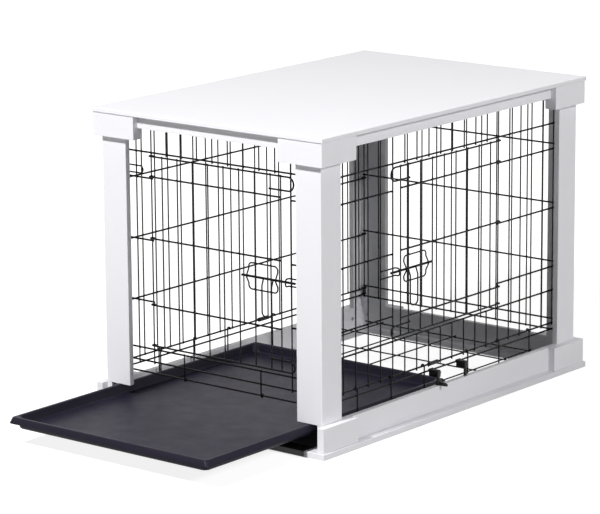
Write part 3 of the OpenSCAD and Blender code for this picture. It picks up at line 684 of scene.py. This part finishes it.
@dataclass
class WireCrate:
    """Coated wires of the crate, its doors and its latches. Sizes are in mm, heights from the floor."""

    shop: Workshop
    # walls and the layers of their wires
    pitch: float = 39.2
    half_width: float = 254.8
    half_length: float = 392.0
    door_half: float = 176.4
    corner_n: float = 0.4
    row_n: float = 3.22
    slack: float = 0.1
    # front and back wall
    wide_count: int = 14
    post_foot: float = 81.4
    post_top: float = 594.8
    beside_foot: float = 104.4
    over_foot: float = 529.4
    hangers: tuple[Span, ...] = ((-98.0, 92.0, 137.6), (98.0, 92.0, 137.6), (-160.4, 92.2, 137.6))
    front_rows: Numbers = (85.0, 108.0, 134.0, 533.0, 592.0)
    back_rows: Numbers = (85.0, 108.0, 592.0)
    stubs: Numbers = (231.5, 356.25, 481.0)
    # side walls
    long_count: int = 20
    side_foot: float = 98.9
    side_over_foot: float = 523.4
    side_under_top: float = 174.8
    side_top: float = 588.0
    side_rows: Numbers = (89.0, 102.5, 588.0)
    doorway_rows: Numbers = (173.0, 527.0)
    side_stubs: Numbers = (223.5, 348.5, 473.5)
    # doors
    first_upright: float = 28.0
    door_pitches: int = 8
    last_upright: float = 328.0
    upright_over: float = 2.0
    return_from: float = 120.0
    return_low: float = 22.0
    return_top: float = 27.0
    guide_span: Point = (73.0, 145.0)
    guide_rise: float = 26.0
    doors: tuple[DoorPlan, ...] = (
        DoorPlan("front_door", Wall.FRONT, Body.FRONT_DOOR, 144.0, (227.0, 362.0, 486.0), 527.0, 322.5),
        DoorPlan("side_door", Wall.RIGHT, Body.SIDE_DOOR, 183.0, (218.5, 354.0, 478.0), 521.0, 314.5))
    # roof and floor grid
    roof_shares: Numbers = (-0.9, -0.5, 0.0, 0.5, 0.9)
    roof_weld_z: float = 589.89
    grid_long: Numbers = (-196.0, -98.0, 0.0, 98.0, 196.0)
    grid_cross: Numbers = (73.5, 182.0, 290.0, 380.0)
    grid_weld_z: float = 32.51
    # welds
    wall_weld: float = -1.41
    door_weld: float = 1.79
    weld_long: float = 2.5
    weld_flat: float = 1.0
    # rubber feet: (inset from their widest, height over the sole) and (inset, depth under the top)
    foot_places: Numbers = (-290.0, -73.5, 73.5, 290.0)
    foot_low: tuple[Point, ...] = ((0.8, 0.0), (0.0, 0.8), (0.1, 4.0))
    foot_high: tuple[Point, ...] = ((1.0, 5.0), (1.1, 0.9), (1.8, 0.0))
    foot_sides: int = 24
    wire_nodes: tuple[str, ...] = (
        "front_panel", "right_panel", "left_panel", "back_panel", "roof_panel", "floor_grid",
        "corner_locks", "front_keeper", "side_keeper", "front_door", "side_door", "front_door_guide",
        "side_door_guide", "front_bolt", "side_bolt", "front_bolt_handle", "side_bolt_handle")

    def build(self) -> None:
        """Dresses the wires and adds the welds at their crossings."""
        for node in self.wire_nodes:
            self.shop.dress(node, Slot.BLACK_WIRE)
        self.shop.dress("corner_sleeves", Slot.BLACK_PLASTIC)
        for wires in (self._front(), self._back(), self._side(Wall.LEFT), self._side(Wall.RIGHT),
                      *(self._door(plan) for plan in self.doors)):
            spots = [self._place(wires.wall, s, wires.weld_n, z) for s, z in wires.crossings()]
            self._welds(wires.name, wires.body, spots, int(wires.wall in (Wall.FRONT, Wall.BACK)))
        roof = [(share * self.half_width, y, self.roof_weld_z) for share in self.roof_shares
                for y in self._places(self.long_count)]
        grid = [(x, side * y, self.grid_weld_z) for x in self.grid_long for y in self.grid_cross
                for side in (-1, 1)]
        for name, places in (("roof", roof), ("floor", grid)):
            self._welds(name, Body.FIXED, [Vector(place) * MM for place in places], 2)
        self._feet()

    def _places(self, count: int) -> list[float]:
        """Gives the places of evenly spaced uprights about the middle."""
        return [(k - (count - 1) / 2) * self.pitch for k in range(count)]

    def _in_doorway(self, s: float) -> bool:
        """Tells whether an upright stands between a doorway's posts."""
        return abs(s) < self.door_half - self.slack

    def _rows(self, half: float, whole: Numbers, parted: Numbers = ()) -> list[Span]:
        """Gives the rows of a wall.

        Args:
            half: how far they run to each side.
            whole: heights of rows that run the whole way.
            parted: heights of rows that stop at the doorway's posts.

        Returns:
            The rows.
        """
        rows = [(z, -half, half) for z in whole]
        for z in parted:
            rows += [(z, -half, -self.door_half), (z, self.door_half, half)]
        return rows

    def _front(self) -> WireMesh:
        """Gives the front wall's wires."""
        half = self.half_width + self.corner_n
        uprights = [(s, self.over_foot if self._in_doorway(s) else self.beside_foot, self.post_top)
                    for s in self._places(self.wide_count) if abs(s) < self.half_width - self.slack]
        uprights += [(side * half, self.post_foot, self.post_top) for side in (-1, 1)]
        uprights += self.hangers
        rows = self._rows(half, self.front_rows, self.stubs)
        return WireMesh("front_wall", Wall.FRONT, Body.FIXED, self.wall_weld, uprights, rows)

    def _back(self) -> WireMesh:
        """Gives the back wall's wires."""
        half = self.half_width + self.corner_n
        uprights = [(s, self.post_foot, self.post_top) for s in self._places(self.wide_count)]
        rows = self._rows(half, (*self.back_rows, *self.stubs))
        return WireMesh("back_wall", Wall.BACK, Body.FIXED, self.wall_weld, uprights, rows)

    def _side(self, wall: Wall) -> WireMesh:
        """Gives the wires of a side wall.

        Args:
            wall: LEFT, or RIGHT, which has the doorway.

        Returns:
            Its wires.
        """
        doorway = wall is Wall.RIGHT
        places = self._places(self.long_count)
        uprights = [(s, self.side_over_foot if doorway and self._in_doorway(s) else self.side_foot,
                     self.side_top) for s in places]
        if doorway:
            uprights += [(s, self.side_foot, self.side_under_top) for s in places if self._in_doorway(s)]
            rows = self._rows(self.half_length, (*self.side_rows, *self.doorway_rows), self.side_stubs)
        else:
            rows = self._rows(self.half_length, (*self.side_rows, *self.side_stubs))
        return WireMesh(f"{wall.value}_wall", wall, Body.FIXED, self.wall_weld, uprights, rows)

    def _door(self, plan: DoorPlan) -> WireMesh:
        """Gives a door's wires, with the guide that is welded on.

        Args:
            plan: the door's plan.

        Returns:
            Its wires.
        """
        spots = [self.first_upright + self.pitch * k for k in range(self.door_pitches)]
        uprights = [(s - self.door_half, plan.low - self.upright_over, plan.top + self.upright_over)
                    for s in (*spots, self.last_upright)]
        rows = self._rows(self.door_half, (plan.low, *plan.mids, plan.top))
        rows += [(z, self.return_from, self.door_half)
                 for z in (plan.low + self.return_low, plan.top - self.return_top)]
        rows += [(plan.bolt + rise, *self.guide_span) for rise in (-self.guide_rise, self.guide_rise)]
        return WireMesh(plan.name, plan.wall, plan.body, self.door_weld, uprights, rows)

    def _place(self, wall: Wall, s: float, n: float, z: float) -> Vector:
        """Gives a point of a wall in the frame, in metres.

        Args:
            wall: the wall.
            s: distance along it.
            n: distance out of it.
            z: height.

        Returns:
            The point.
        """
        points = {
            Wall.FRONT: (s, -self.half_length - n, z), Wall.BACK: (-s, self.half_length + n, z),
            Wall.LEFT: (-self.half_width - n, -s, z), Wall.RIGHT: (self.half_width + n, -s, z)}
        return Vector(points[wall]) * MM

    def _welds(self, name: str, body: Body, spots: list[Vector], across: int) -> None:
        """Adds the welds of a wall, a door or a grid: the coat that fills the corners where wires cross.

        Args:
            name: the name of the wall, door or grid.
            body: the body that it rides on.
            spots: the middles of the welds, in metres.
            across: number of the axis across the crossing wires.
        """
        size = [self.weld_long * MM] * 3
        size[across] = self.weld_flat * MM
        mesh = bmesh.new()
        for spot in spots:
            bmesh.ops.create_uvsphere(mesh, u_segments=8, v_segments=4, radius=1.0,
                                      matrix=Matrix.Translation(spot) @ Matrix.Diagonal((*size, 1.0)))
        self.shop.piece(f"{name}_welds", mesh, Slot.BLACK_WIRE, body, smooth_under=WELDED)

    def _feet(self) -> None:
        """Builds the rubber feet: a cup that narrows upwards under each floor wire."""
        low, high = limits("crate_feet")
        x_mid = self.half_width - self.row_n
        wide = high.x - x_mid
        profile = [(0.0, low.z), *((wide - inset, low.z + rise) for inset, rise in self.foot_low),
                   *((wide - inset, high.z - depth) for inset, depth in self.foot_high), (0.0, high.z)]
        mesh = bmesh.new()
        for x in (-x_mid, x_mid):
            for y in self.foot_places:
                part = bmesh.new()
                line = [part.verts.new(((x + r) * MM, y * MM, z * MM)) for r, z in profile]
                edges = [part.edges.new(pair) for pair in zip(line, line[1:])]
                bmesh.ops.spin(part, geom=line + edges, cent=(x * MM, y * MM, 0.0), axis=(0, 0, 1),
                               angle=math.tau, steps=self.foot_sides, use_merge=True)
                bmesh.ops.remove_doubles(part, verts=part.verts, dist=TINY)
                merged(mesh, part)
        self.shop.piece("rubber_feet", mesh, Slot.FOOT_RUBBER, Body.FIXED, ("crate_feet",), MOULDED)


@dataclass
class SlideOutPan:
    """Plastic pan, formed from one sheet: floor, leaning walls and a rim that turns down. Sizes in mm."""

    shop: Workshop
    corner_steps: int = 10
    smooth_under: float = 50.0
    corners: ClassVar[tuple[tuple[int, int], ...]] = ((-1, -1), (1, -1), (1, 1), (-1, 1))
    # from the floor's top side up the wall, over the rim, back under it, down the wall and inwards below
    rings: ClassVar[tuple[Ring, ...]] = (
        (60.0, 2.5, 8.0), (34.0, 2.5, 10.0), (30.0, 2.8, 11.0), (27.0, 3.6, 12.0), (19.0, 3.7, 14.0),
        (16.5, 4.2, 14.5), (14.6, 5.6, 15.0), (13.6, 8.0, 15.0), (12.2, 21.0, 14.5), (11.4, 23.0, 14.5),
        (10.0, 24.0, 12.0), (6.0, 24.0, 6.6), (4.6, 23.6, 5.8), (3.8, 22.6, 5.4), (0.4, 13.4, 5.0),
        (0.0, 12.4, 5.0), (0.3, 11.4, 5.0), (1.6, 11.2, 4.4), (2.6, 12.2, 4.2), (5.4, 20.4, 5.6),
        (6.2, 21.6, 6.2), (9.0, 21.6, 9.0), (10.0, 20.6, 10.6), (11.0, 6.0, 12.0), (12.0, 2.6, 12.0),
        (14.0, 0.7, 11.0), (17.0, 0.0, 10.0), (60.0, 0.0, 8.0))

    def build(self) -> None:
        """Builds the pan in its node's place."""
        low, high = limits("pan")
        middle = Vector(((low.x + high.x) / 2, (low.y + high.y) / 2, 0.0))
        half = (high - low) / 2
        mesh = bmesh.new()
        loop = self._first_loop(mesh, self.rings[0][2])
        bmesh.ops.contextual_create(mesh, geom=loop)
        here = {corner: Vector() for corner in self.corners}
        for number, (inset, rise, radius) in enumerate(self.rings):
            growth = 1.0
            if number > 0:
                loop = self._next_loop(mesh, loop)
                growth = radius / self.rings[number - 1][2]
            groups = self._groups(loop, middle if number > 0 else Vector())
            for (sx, sy), corner in groups.items():
                reach = Vector((sx * (half.x - inset - radius), sy * (half.y - inset - radius),
                                low.z + rise))
                bmesh.ops.scale(mesh, verts=corner, vec=(growth, growth, 1.0),
                                space=Matrix.Translation(-here[sx, sy] * MM))
                bmesh.ops.translate(mesh, verts=corner, vec=(middle + reach - here[sx, sy]) * MM)
                here[sx, sy] = middle + reach
        bmesh.ops.contextual_create(mesh, geom=loop)
        self.shop.piece("formed_pan", mesh, Slot.PAN_PLASTIC, Body.PAN, ("pan",), self.smooth_under)

    def _first_loop(self, mesh: BMesh, radius: float) -> list[BMEdge]:
        """Adds the circle whose quarters become the first ring's corners.

        Args:
            mesh: the mesh that grows.
            radius: radius of the corners.

        Returns:
            The circle's edges.
        """
        step = math.pi / 2 / self.corner_steps
        made = bmesh.ops.create_circle(mesh, cap_ends=False, segments=4 * self.corner_steps,
                                       radius=radius * MM,
                                       matrix=Matrix.Rotation(step / 2, 4, "Z"))["verts"]
        return list({edge for vert in made for edge in vert.link_edges})

    @staticmethod
    def _next_loop(mesh: BMesh, loop: list[BMEdge]) -> list[BMEdge]:
        """Extrudes a ring in place, and gives the new ring's edges."""
        drawn = bmesh.ops.extrude_edge_only(mesh, edges=loop)["geom"]
        return [part for part in drawn if isinstance(part, BMEdge) and set(part.verts) <= set(drawn)]

    @classmethod
    def _groups(cls, loop: list[BMEdge], middle: Vector) -> dict[tuple[int, int], list[BMVert]]:
        """Sorts a ring's vertices by corner.

        Args:
            loop: the ring's edges.
            middle: the ring's middle, in mm.

        Returns:
            The vertices of each corner.
        """
        found = {vert for edge in loop for vert in edge.verts}
        x, y = middle.x * MM, middle.y * MM
        return {(sx, sy): [v for v in found if (v.co.x - x) * sx > 0 and (v.co.y - y) * sy > 0]
                for sx, sy in cls.corners}


@dataclass
class SideClips:
    """Plastic clips that hold the crate to the rail, the lever and the wires' sleeves. Sizes are in mm."""

    shop: Workshop
    place: float = 46.0
    wire_x: float = 251.58
    wire_z: float = 89.0
    post_x: float = 269.0
    rail_top: float = 61.0
    drum_sides: int = 28
    # head: a block round the wire, with a rounded jaw and a rib at its outer end
    head_height: float = 16.0
    head_half: float = 5.2
    head_inset: float = 1.4
    head_round: float = 1.6
    jaw_length: float = 12.0
    rib_width: float = 7.0
    rib_rise: float = 9.0
    # stem that stands on the rail and runs up into the head
    stem_width: float = 6.9
    stem_in: float = 2.0
    stem_round: float = 0.3
    # lever: a hub, an arm as (distance from the tip, half width), and the arm's droop
    hub_width: float = 11.1
    hub_round: float = 0.8
    arm_half: float = 4.0
    arm_tip: tuple[Point, ...] = ((6.0, 3.2), (2.0, 2.2))
    arm_step: float = 1.0
    arm_round: float = 0.9
    droop_from: float = 4.6
    droop: float = 4.2
    # sleeve on the left side's second wire, between two uprights
    left_row_z: float = 102.5
    left_sleeve_y: float = 39.2
    left_sleeve_length: float = 33.0
    left_sleeve_width: float = 8.6
    left_sleeve_round: float = 1.2

    def build(self) -> None:
        """Builds the clips and the left wire's sleeve, and dresses the right wire's sleeve."""
        self._clip("side_clip_front", -self.place)
        self._clip("side_clip_rear", self.place)
        self._lever()
        self._left_sleeve()
        self.shop.dress("wire_sleeve", Slot.BLACK_PLASTIC)

    def _drum(self, width: float, length: float, centre: Place, along: str,
              chamfer: float = 0.5) -> BMesh:
        """Makes a short cylinder with rounded ends.

        Args:
            width: its diameter.
            length: its length.
            centre: its middle.
            along: the axis that it lies on, Y or Z.
            chamfer: rounding of its two rims.

        Returns:
            Its mesh.
        """
        mesh = bmesh.new()
        turn = Matrix.Rotation(math.pi / 2, 4, "X") if along == "Y" else Matrix.Identity(4)
        radius = width / 2 * MM
        bmesh.ops.create_cone(mesh, cap_ends=True, segments=self.drum_sides, radius1=radius,
                              radius2=radius, depth=length * MM,
                              matrix=Matrix.Translation(Vector(centre) * MM) @ turn)
        rims = [edge for edge in mesh.edges if any(len(face.verts) > 4 for face in edge.link_faces)]
        return rounded(mesh, chamfer, edges=rims)

    def _left_sleeve(self) -> None:
        """Builds the sleeve on the left side's second wire."""
        mesh = self._drum(self.left_sleeve_width, self.left_sleeve_length,
                          (-self.wire_x, self.left_sleeve_y, self.left_row_z), "Y", self.left_sleeve_round)
        self.shop.piece("left_wire_sleeve", mesh, Slot.BLACK_PLASTIC, Body.FIXED, smooth_under=MOULDED)

    def _clip(self, node: str, y: float) -> None:
        """Builds one clip: a head with a jaw round the wire and a rib, on a stem that stands on the rail.

        Args:
            node: the node that it replaces.
            y: its place along the rail.
        """
        low, high = limits(node)
        head_low = high.z - self.head_height
        head = prism(rectangle(low.x + self.head_inset, high.x, y - self.head_half, y + self.head_half),
                     head_low, high.z - self.head_inset)
        mesh = rounded(head, self.head_round, segments=3)
        merged(mesh, self._drum(2 * (self.wire_x - low.x), self.jaw_length,
                                (self.wire_x, y, self.wire_z), "Y"))
        merged(mesh, self._drum(self.rib_width, self.jaw_length,
                                (high.x - self.rib_width / 2, y, head_low + self.rib_rise), "Y"))
        stem_top = head_low + self.stem_in
        merged(mesh, self._drum(self.stem_width, stem_top - self.rail_top,
                                (self.post_x, y, (stem_top + self.rail_top) / 2), "Z", self.stem_round))
        self.shop.piece(f"{node}_jaw", mesh, Slot.BLACK_PLASTIC, Body.FIXED, (node,), MOULDED)

    def _lever(self) -> None:
        """Builds the lever: a hub round the front clip's stem and an arm that thins to a round tip."""
        low, high = limits("clip_lever")
        mesh = self._drum(self.hub_width, high.z - low.z, (self.post_x, -self.place, (low.z + high.z) / 2),
                          "Z", self.hub_round)
        tip = high.x
        sides = [(self.post_x, self.arm_half), *((tip - back, half) for back, half in self.arm_tip)]
        outline = [(x, -self.place - half) for x, half in sides] + [(tip, -self.place)]
        outline += [(x, -self.place + half) for x, half in reversed(sides)]
        arm = prism(outline, low.z, high.z - self.arm_step)
        root = self.post_x + self.droop_from
        for vert in arm.verts:
            if vert.co.z > low.z * MM + TINY:
                vert.co.z -= max(0.0, (vert.co.x / MM - root) / (tip - root)) * self.droop * MM
        merged(mesh, rounded(arm, self.arm_round, segments=3))
        self.shop.piece("clip_lever_arm", mesh, Slot.BLACK_PLASTIC, Body.CLIP_LEVER, ("clip_lever",),
                        MOULDED)


@dataclass(frozen=True)
class Lamp:
    """A soft square lamp: its azimuth and elevation in degrees, its side in metres and its level.

    The level is the brightness that a white face turned to it would show from it alone.
    """

    name: str
    azimuth: float
    elevation: float
    size: float
    level: float


@dataclass
class Studio:
    """Pale floor, soft lamps, world light and the camera."""

    focal_px: float = 3156.752
    frame_px: float = 600.0
    sensor_mm: float = 36.0
    azimuth: float = 38.942
    elevation: float = 12.787
    roll: float = -0.414
    eye: Place = (3.874906, -4.942735, 1.702878)
    sight: Point = (0.1, 100.0)
    lamps: tuple[Lamp, ...] = (
        Lamp("key", azimuth=0.0, elevation=43.5, size=0.4, level=1.02),
        Lamp("side", azimuth=87.0, elevation=28.0, size=1.0, level=0.455),
        Lamp("far_side", azimuth=268.0, elevation=4.0, size=1.0, level=0.2),
        Lamp("far_end", azimuth=176.0, elevation=4.0, size=1.0, level=0.2))
    lamp_distance: float = 5.6
    lamp_aim: Place = (0.0, 0.0, 0.3)
    world_level: float = 0.06
    floor_half: float = 30.0
    floor_tone: float = 0.42
    floor_glow: float = 0.86
    shadow_from: float = 1.0
    shadow_to: float = 2.4
    # box under the pan where the floor's glow is off: a painted shade on the floor
    shade_middle_y: float = -0.215
    shade_half: Point = (0.25, 0.215)
    shade_edge: float = 0.02

    def build(self) -> None:
        """Sets up the whole studio."""
        self._camera()
        for lamp in self.lamps:
            self._light(lamp)
        self._world()
        self._floor()
        bpy.context.scene.view_settings.view_transform = "Standard"

    @staticmethod
    def _way(azimuth: float, elevation: float) -> Vector:
        """Gives the way to an azimuth and an elevation in degrees, 0 being the front."""
        a, e = math.radians(azimuth), math.radians(elevation)
        return Vector((math.sin(a) * math.cos(e), -math.cos(a) * math.cos(e), math.sin(e)))

    def _camera(self) -> None:
        """Places the camera as the photograph's was."""
        data = bpy.data.cameras.new("camera")
        data.sensor_width = self.sensor_mm
        data.lens = self.focal_px * self.sensor_mm / self.frame_px
        data.clip_start, data.clip_end = self.sight
        made = placed("camera", data)
        back = self._way(self.azimuth, self.elevation)
        right = (-back).cross(Vector((0, 0, 1))).normalized()
        up = right.cross(-back)
        c, s = math.cos(math.radians(self.roll)), math.sin(math.radians(self.roll))
        turned = Matrix((c * right + s * up, c * up - s * right, back)).transposed()
        made.matrix_world = Matrix.Translation(self.eye) @ turned.to_4x4()
        bpy.context.scene.camera = made

    def _light(self, lamp: Lamp) -> None:
        """Adds a lamp that looks at the crate's middle.

        Args:
            lamp: the lamp.
        """
        data = bpy.data.lights.new(lamp.name, "AREA")
        data.shape = "SQUARE"
        data.size = lamp.size
        data.energy = lamp.level * math.pi * math.pi * self.lamp_distance ** 2
        made = placed(lamp.name, data)
        way = self._way(lamp.azimuth, lamp.elevation)
        made.location = Vector(self.lamp_aim) + way * self.lamp_distance
        made.rotation_mode = "QUATERNION"
        made.rotation_quaternion = (-way).to_track_quat("-Z", "Y")

    @staticmethod
    def _seen(bench: Bench) -> NodeSocket:
        """Gives 1 for rays from the camera and for mirrored and passed rays, else 0."""
        path = bench.add("ShaderNodeLightPath").outputs
        return bench.combine("MAXIMUM", path["Is Camera Ray"], bench.combine(
            "MAXIMUM", path["Is Glossy Ray"], path["Is Transmission Ray"]))

    def _world(self) -> None:
        """Makes a world that gives a little light and shows white."""
        world = bpy.data.worlds.new("studio_world")
        bpy.context.scene.world = world
        world.use_nodes = True
        bench = Bench(world.node_tree)
        lifted = bench.combine("MULTIPLY", self._seen(bench), 1.0 - self.world_level)
        bench.feed(world.node_tree.nodes["Background"], {
            "Color": (1.0, 1.0, 1.0, 1.0), "Strength": bench.combine("ADD", lifted, self.world_level)})

    def _glow(self, bench: Bench) -> NodeSocket:
        """Gives the floor's own brightness: it grows to white away from the crate's shadow, and is off in
        a box under the pan, which paints a deep shade there.

        Args:
            bench: the floor's bench.

        Returns:
            The brightness's socket.
        """
        place = bench.add("ShaderNodeTexCoord").outputs["Object"]
        away = bench.add("ShaderNodeVectorMath", {0: place}, operation="LENGTH").outputs["Value"]
        ramp = bench.add("ShaderNodeMapRange", {
            "Value": away, "From Min": self.shadow_from, "From Max": self.shadow_to,
            "To Min": self.floor_glow, "To Max": 1.0})
        # Box under the pan where the glow is off, so the floor there shows dark: painted shade under the
        # pan.
        parts = bench.add("ShaderNodeSeparateXYZ", {0: place})
        beside = self._past(bench, parts.outputs["X"], 0.0, self.shade_half[0])
        before = self._past(bench, parts.outputs["Y"], self.shade_middle_y, self.shade_half[1])
        outside_painted_shade = bench.combine("MAXIMUM", beside, before)
        lit = bench.combine("MULTIPLY", self._seen(bench), outside_painted_shade)
        return bench.combine("MULTIPLY", lit, ramp.outputs["Result"])

    def _past(self, bench: Bench, value: NodeSocket, middle: float, half: float) -> NodeSocket:
        """Gives 0 within half of the middle and 1 past it.

        Args:
            bench: the floor's bench.
            value: the place along one axis.
            middle: the middle of the painted shade under the pan.
            half: half its length.

        Returns:
            The step's socket.
        """
        away = bench.combine("ABSOLUTE", bench.combine("SUBTRACT", value, middle), 0.0)
        step = bench.add("ShaderNodeMapRange", {
            "Value": away, "From Min": half, "From Max": half + self.shade_edge})
        return step.outputs["Result"]

    def _floor(self) -> None:
        """Lays the pale floor, which keeps the crate's shadow."""
        mesh = bmesh.new()
        bmesh.ops.create_grid(mesh, x_segments=1, y_segments=1, size=self.floor_half)
        made = placed("studio_floor", settled("studio_floor", mesh))
        paper = bpy.data.materials.new("pale_paper")
        paper.use_nodes = True
        bench = Bench(paper.node_tree)
        bench.feed(paper.node_tree.nodes["Principled BSDF"], {
            "Base Color": (*[self.floor_tone] * 3, 1.0), "Roughness": 0.9, "Specular IOR Level": 0.0,
            "Emission Color": (1.0, 1.0, 1.0, 1.0), "Emission Strength": self._glow(bench)})
        made.data.materials.append(paper)


def main() -> None:
    """Builds the crate's looks and the studio."""
    logging.basicConfig(level=logging.INFO, format="%(name)s: %(message)s")
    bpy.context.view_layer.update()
    shop = Workshop()
    Studio().build()
    for assembly in (WoodenCover(shop), WireCrate(shop), SlideOutPan(shop), SideClips(shop)):
        assembly.build()
        LOG.info("%s built", type(assembly).__name__)


if __name__ == "__main__":
    main()
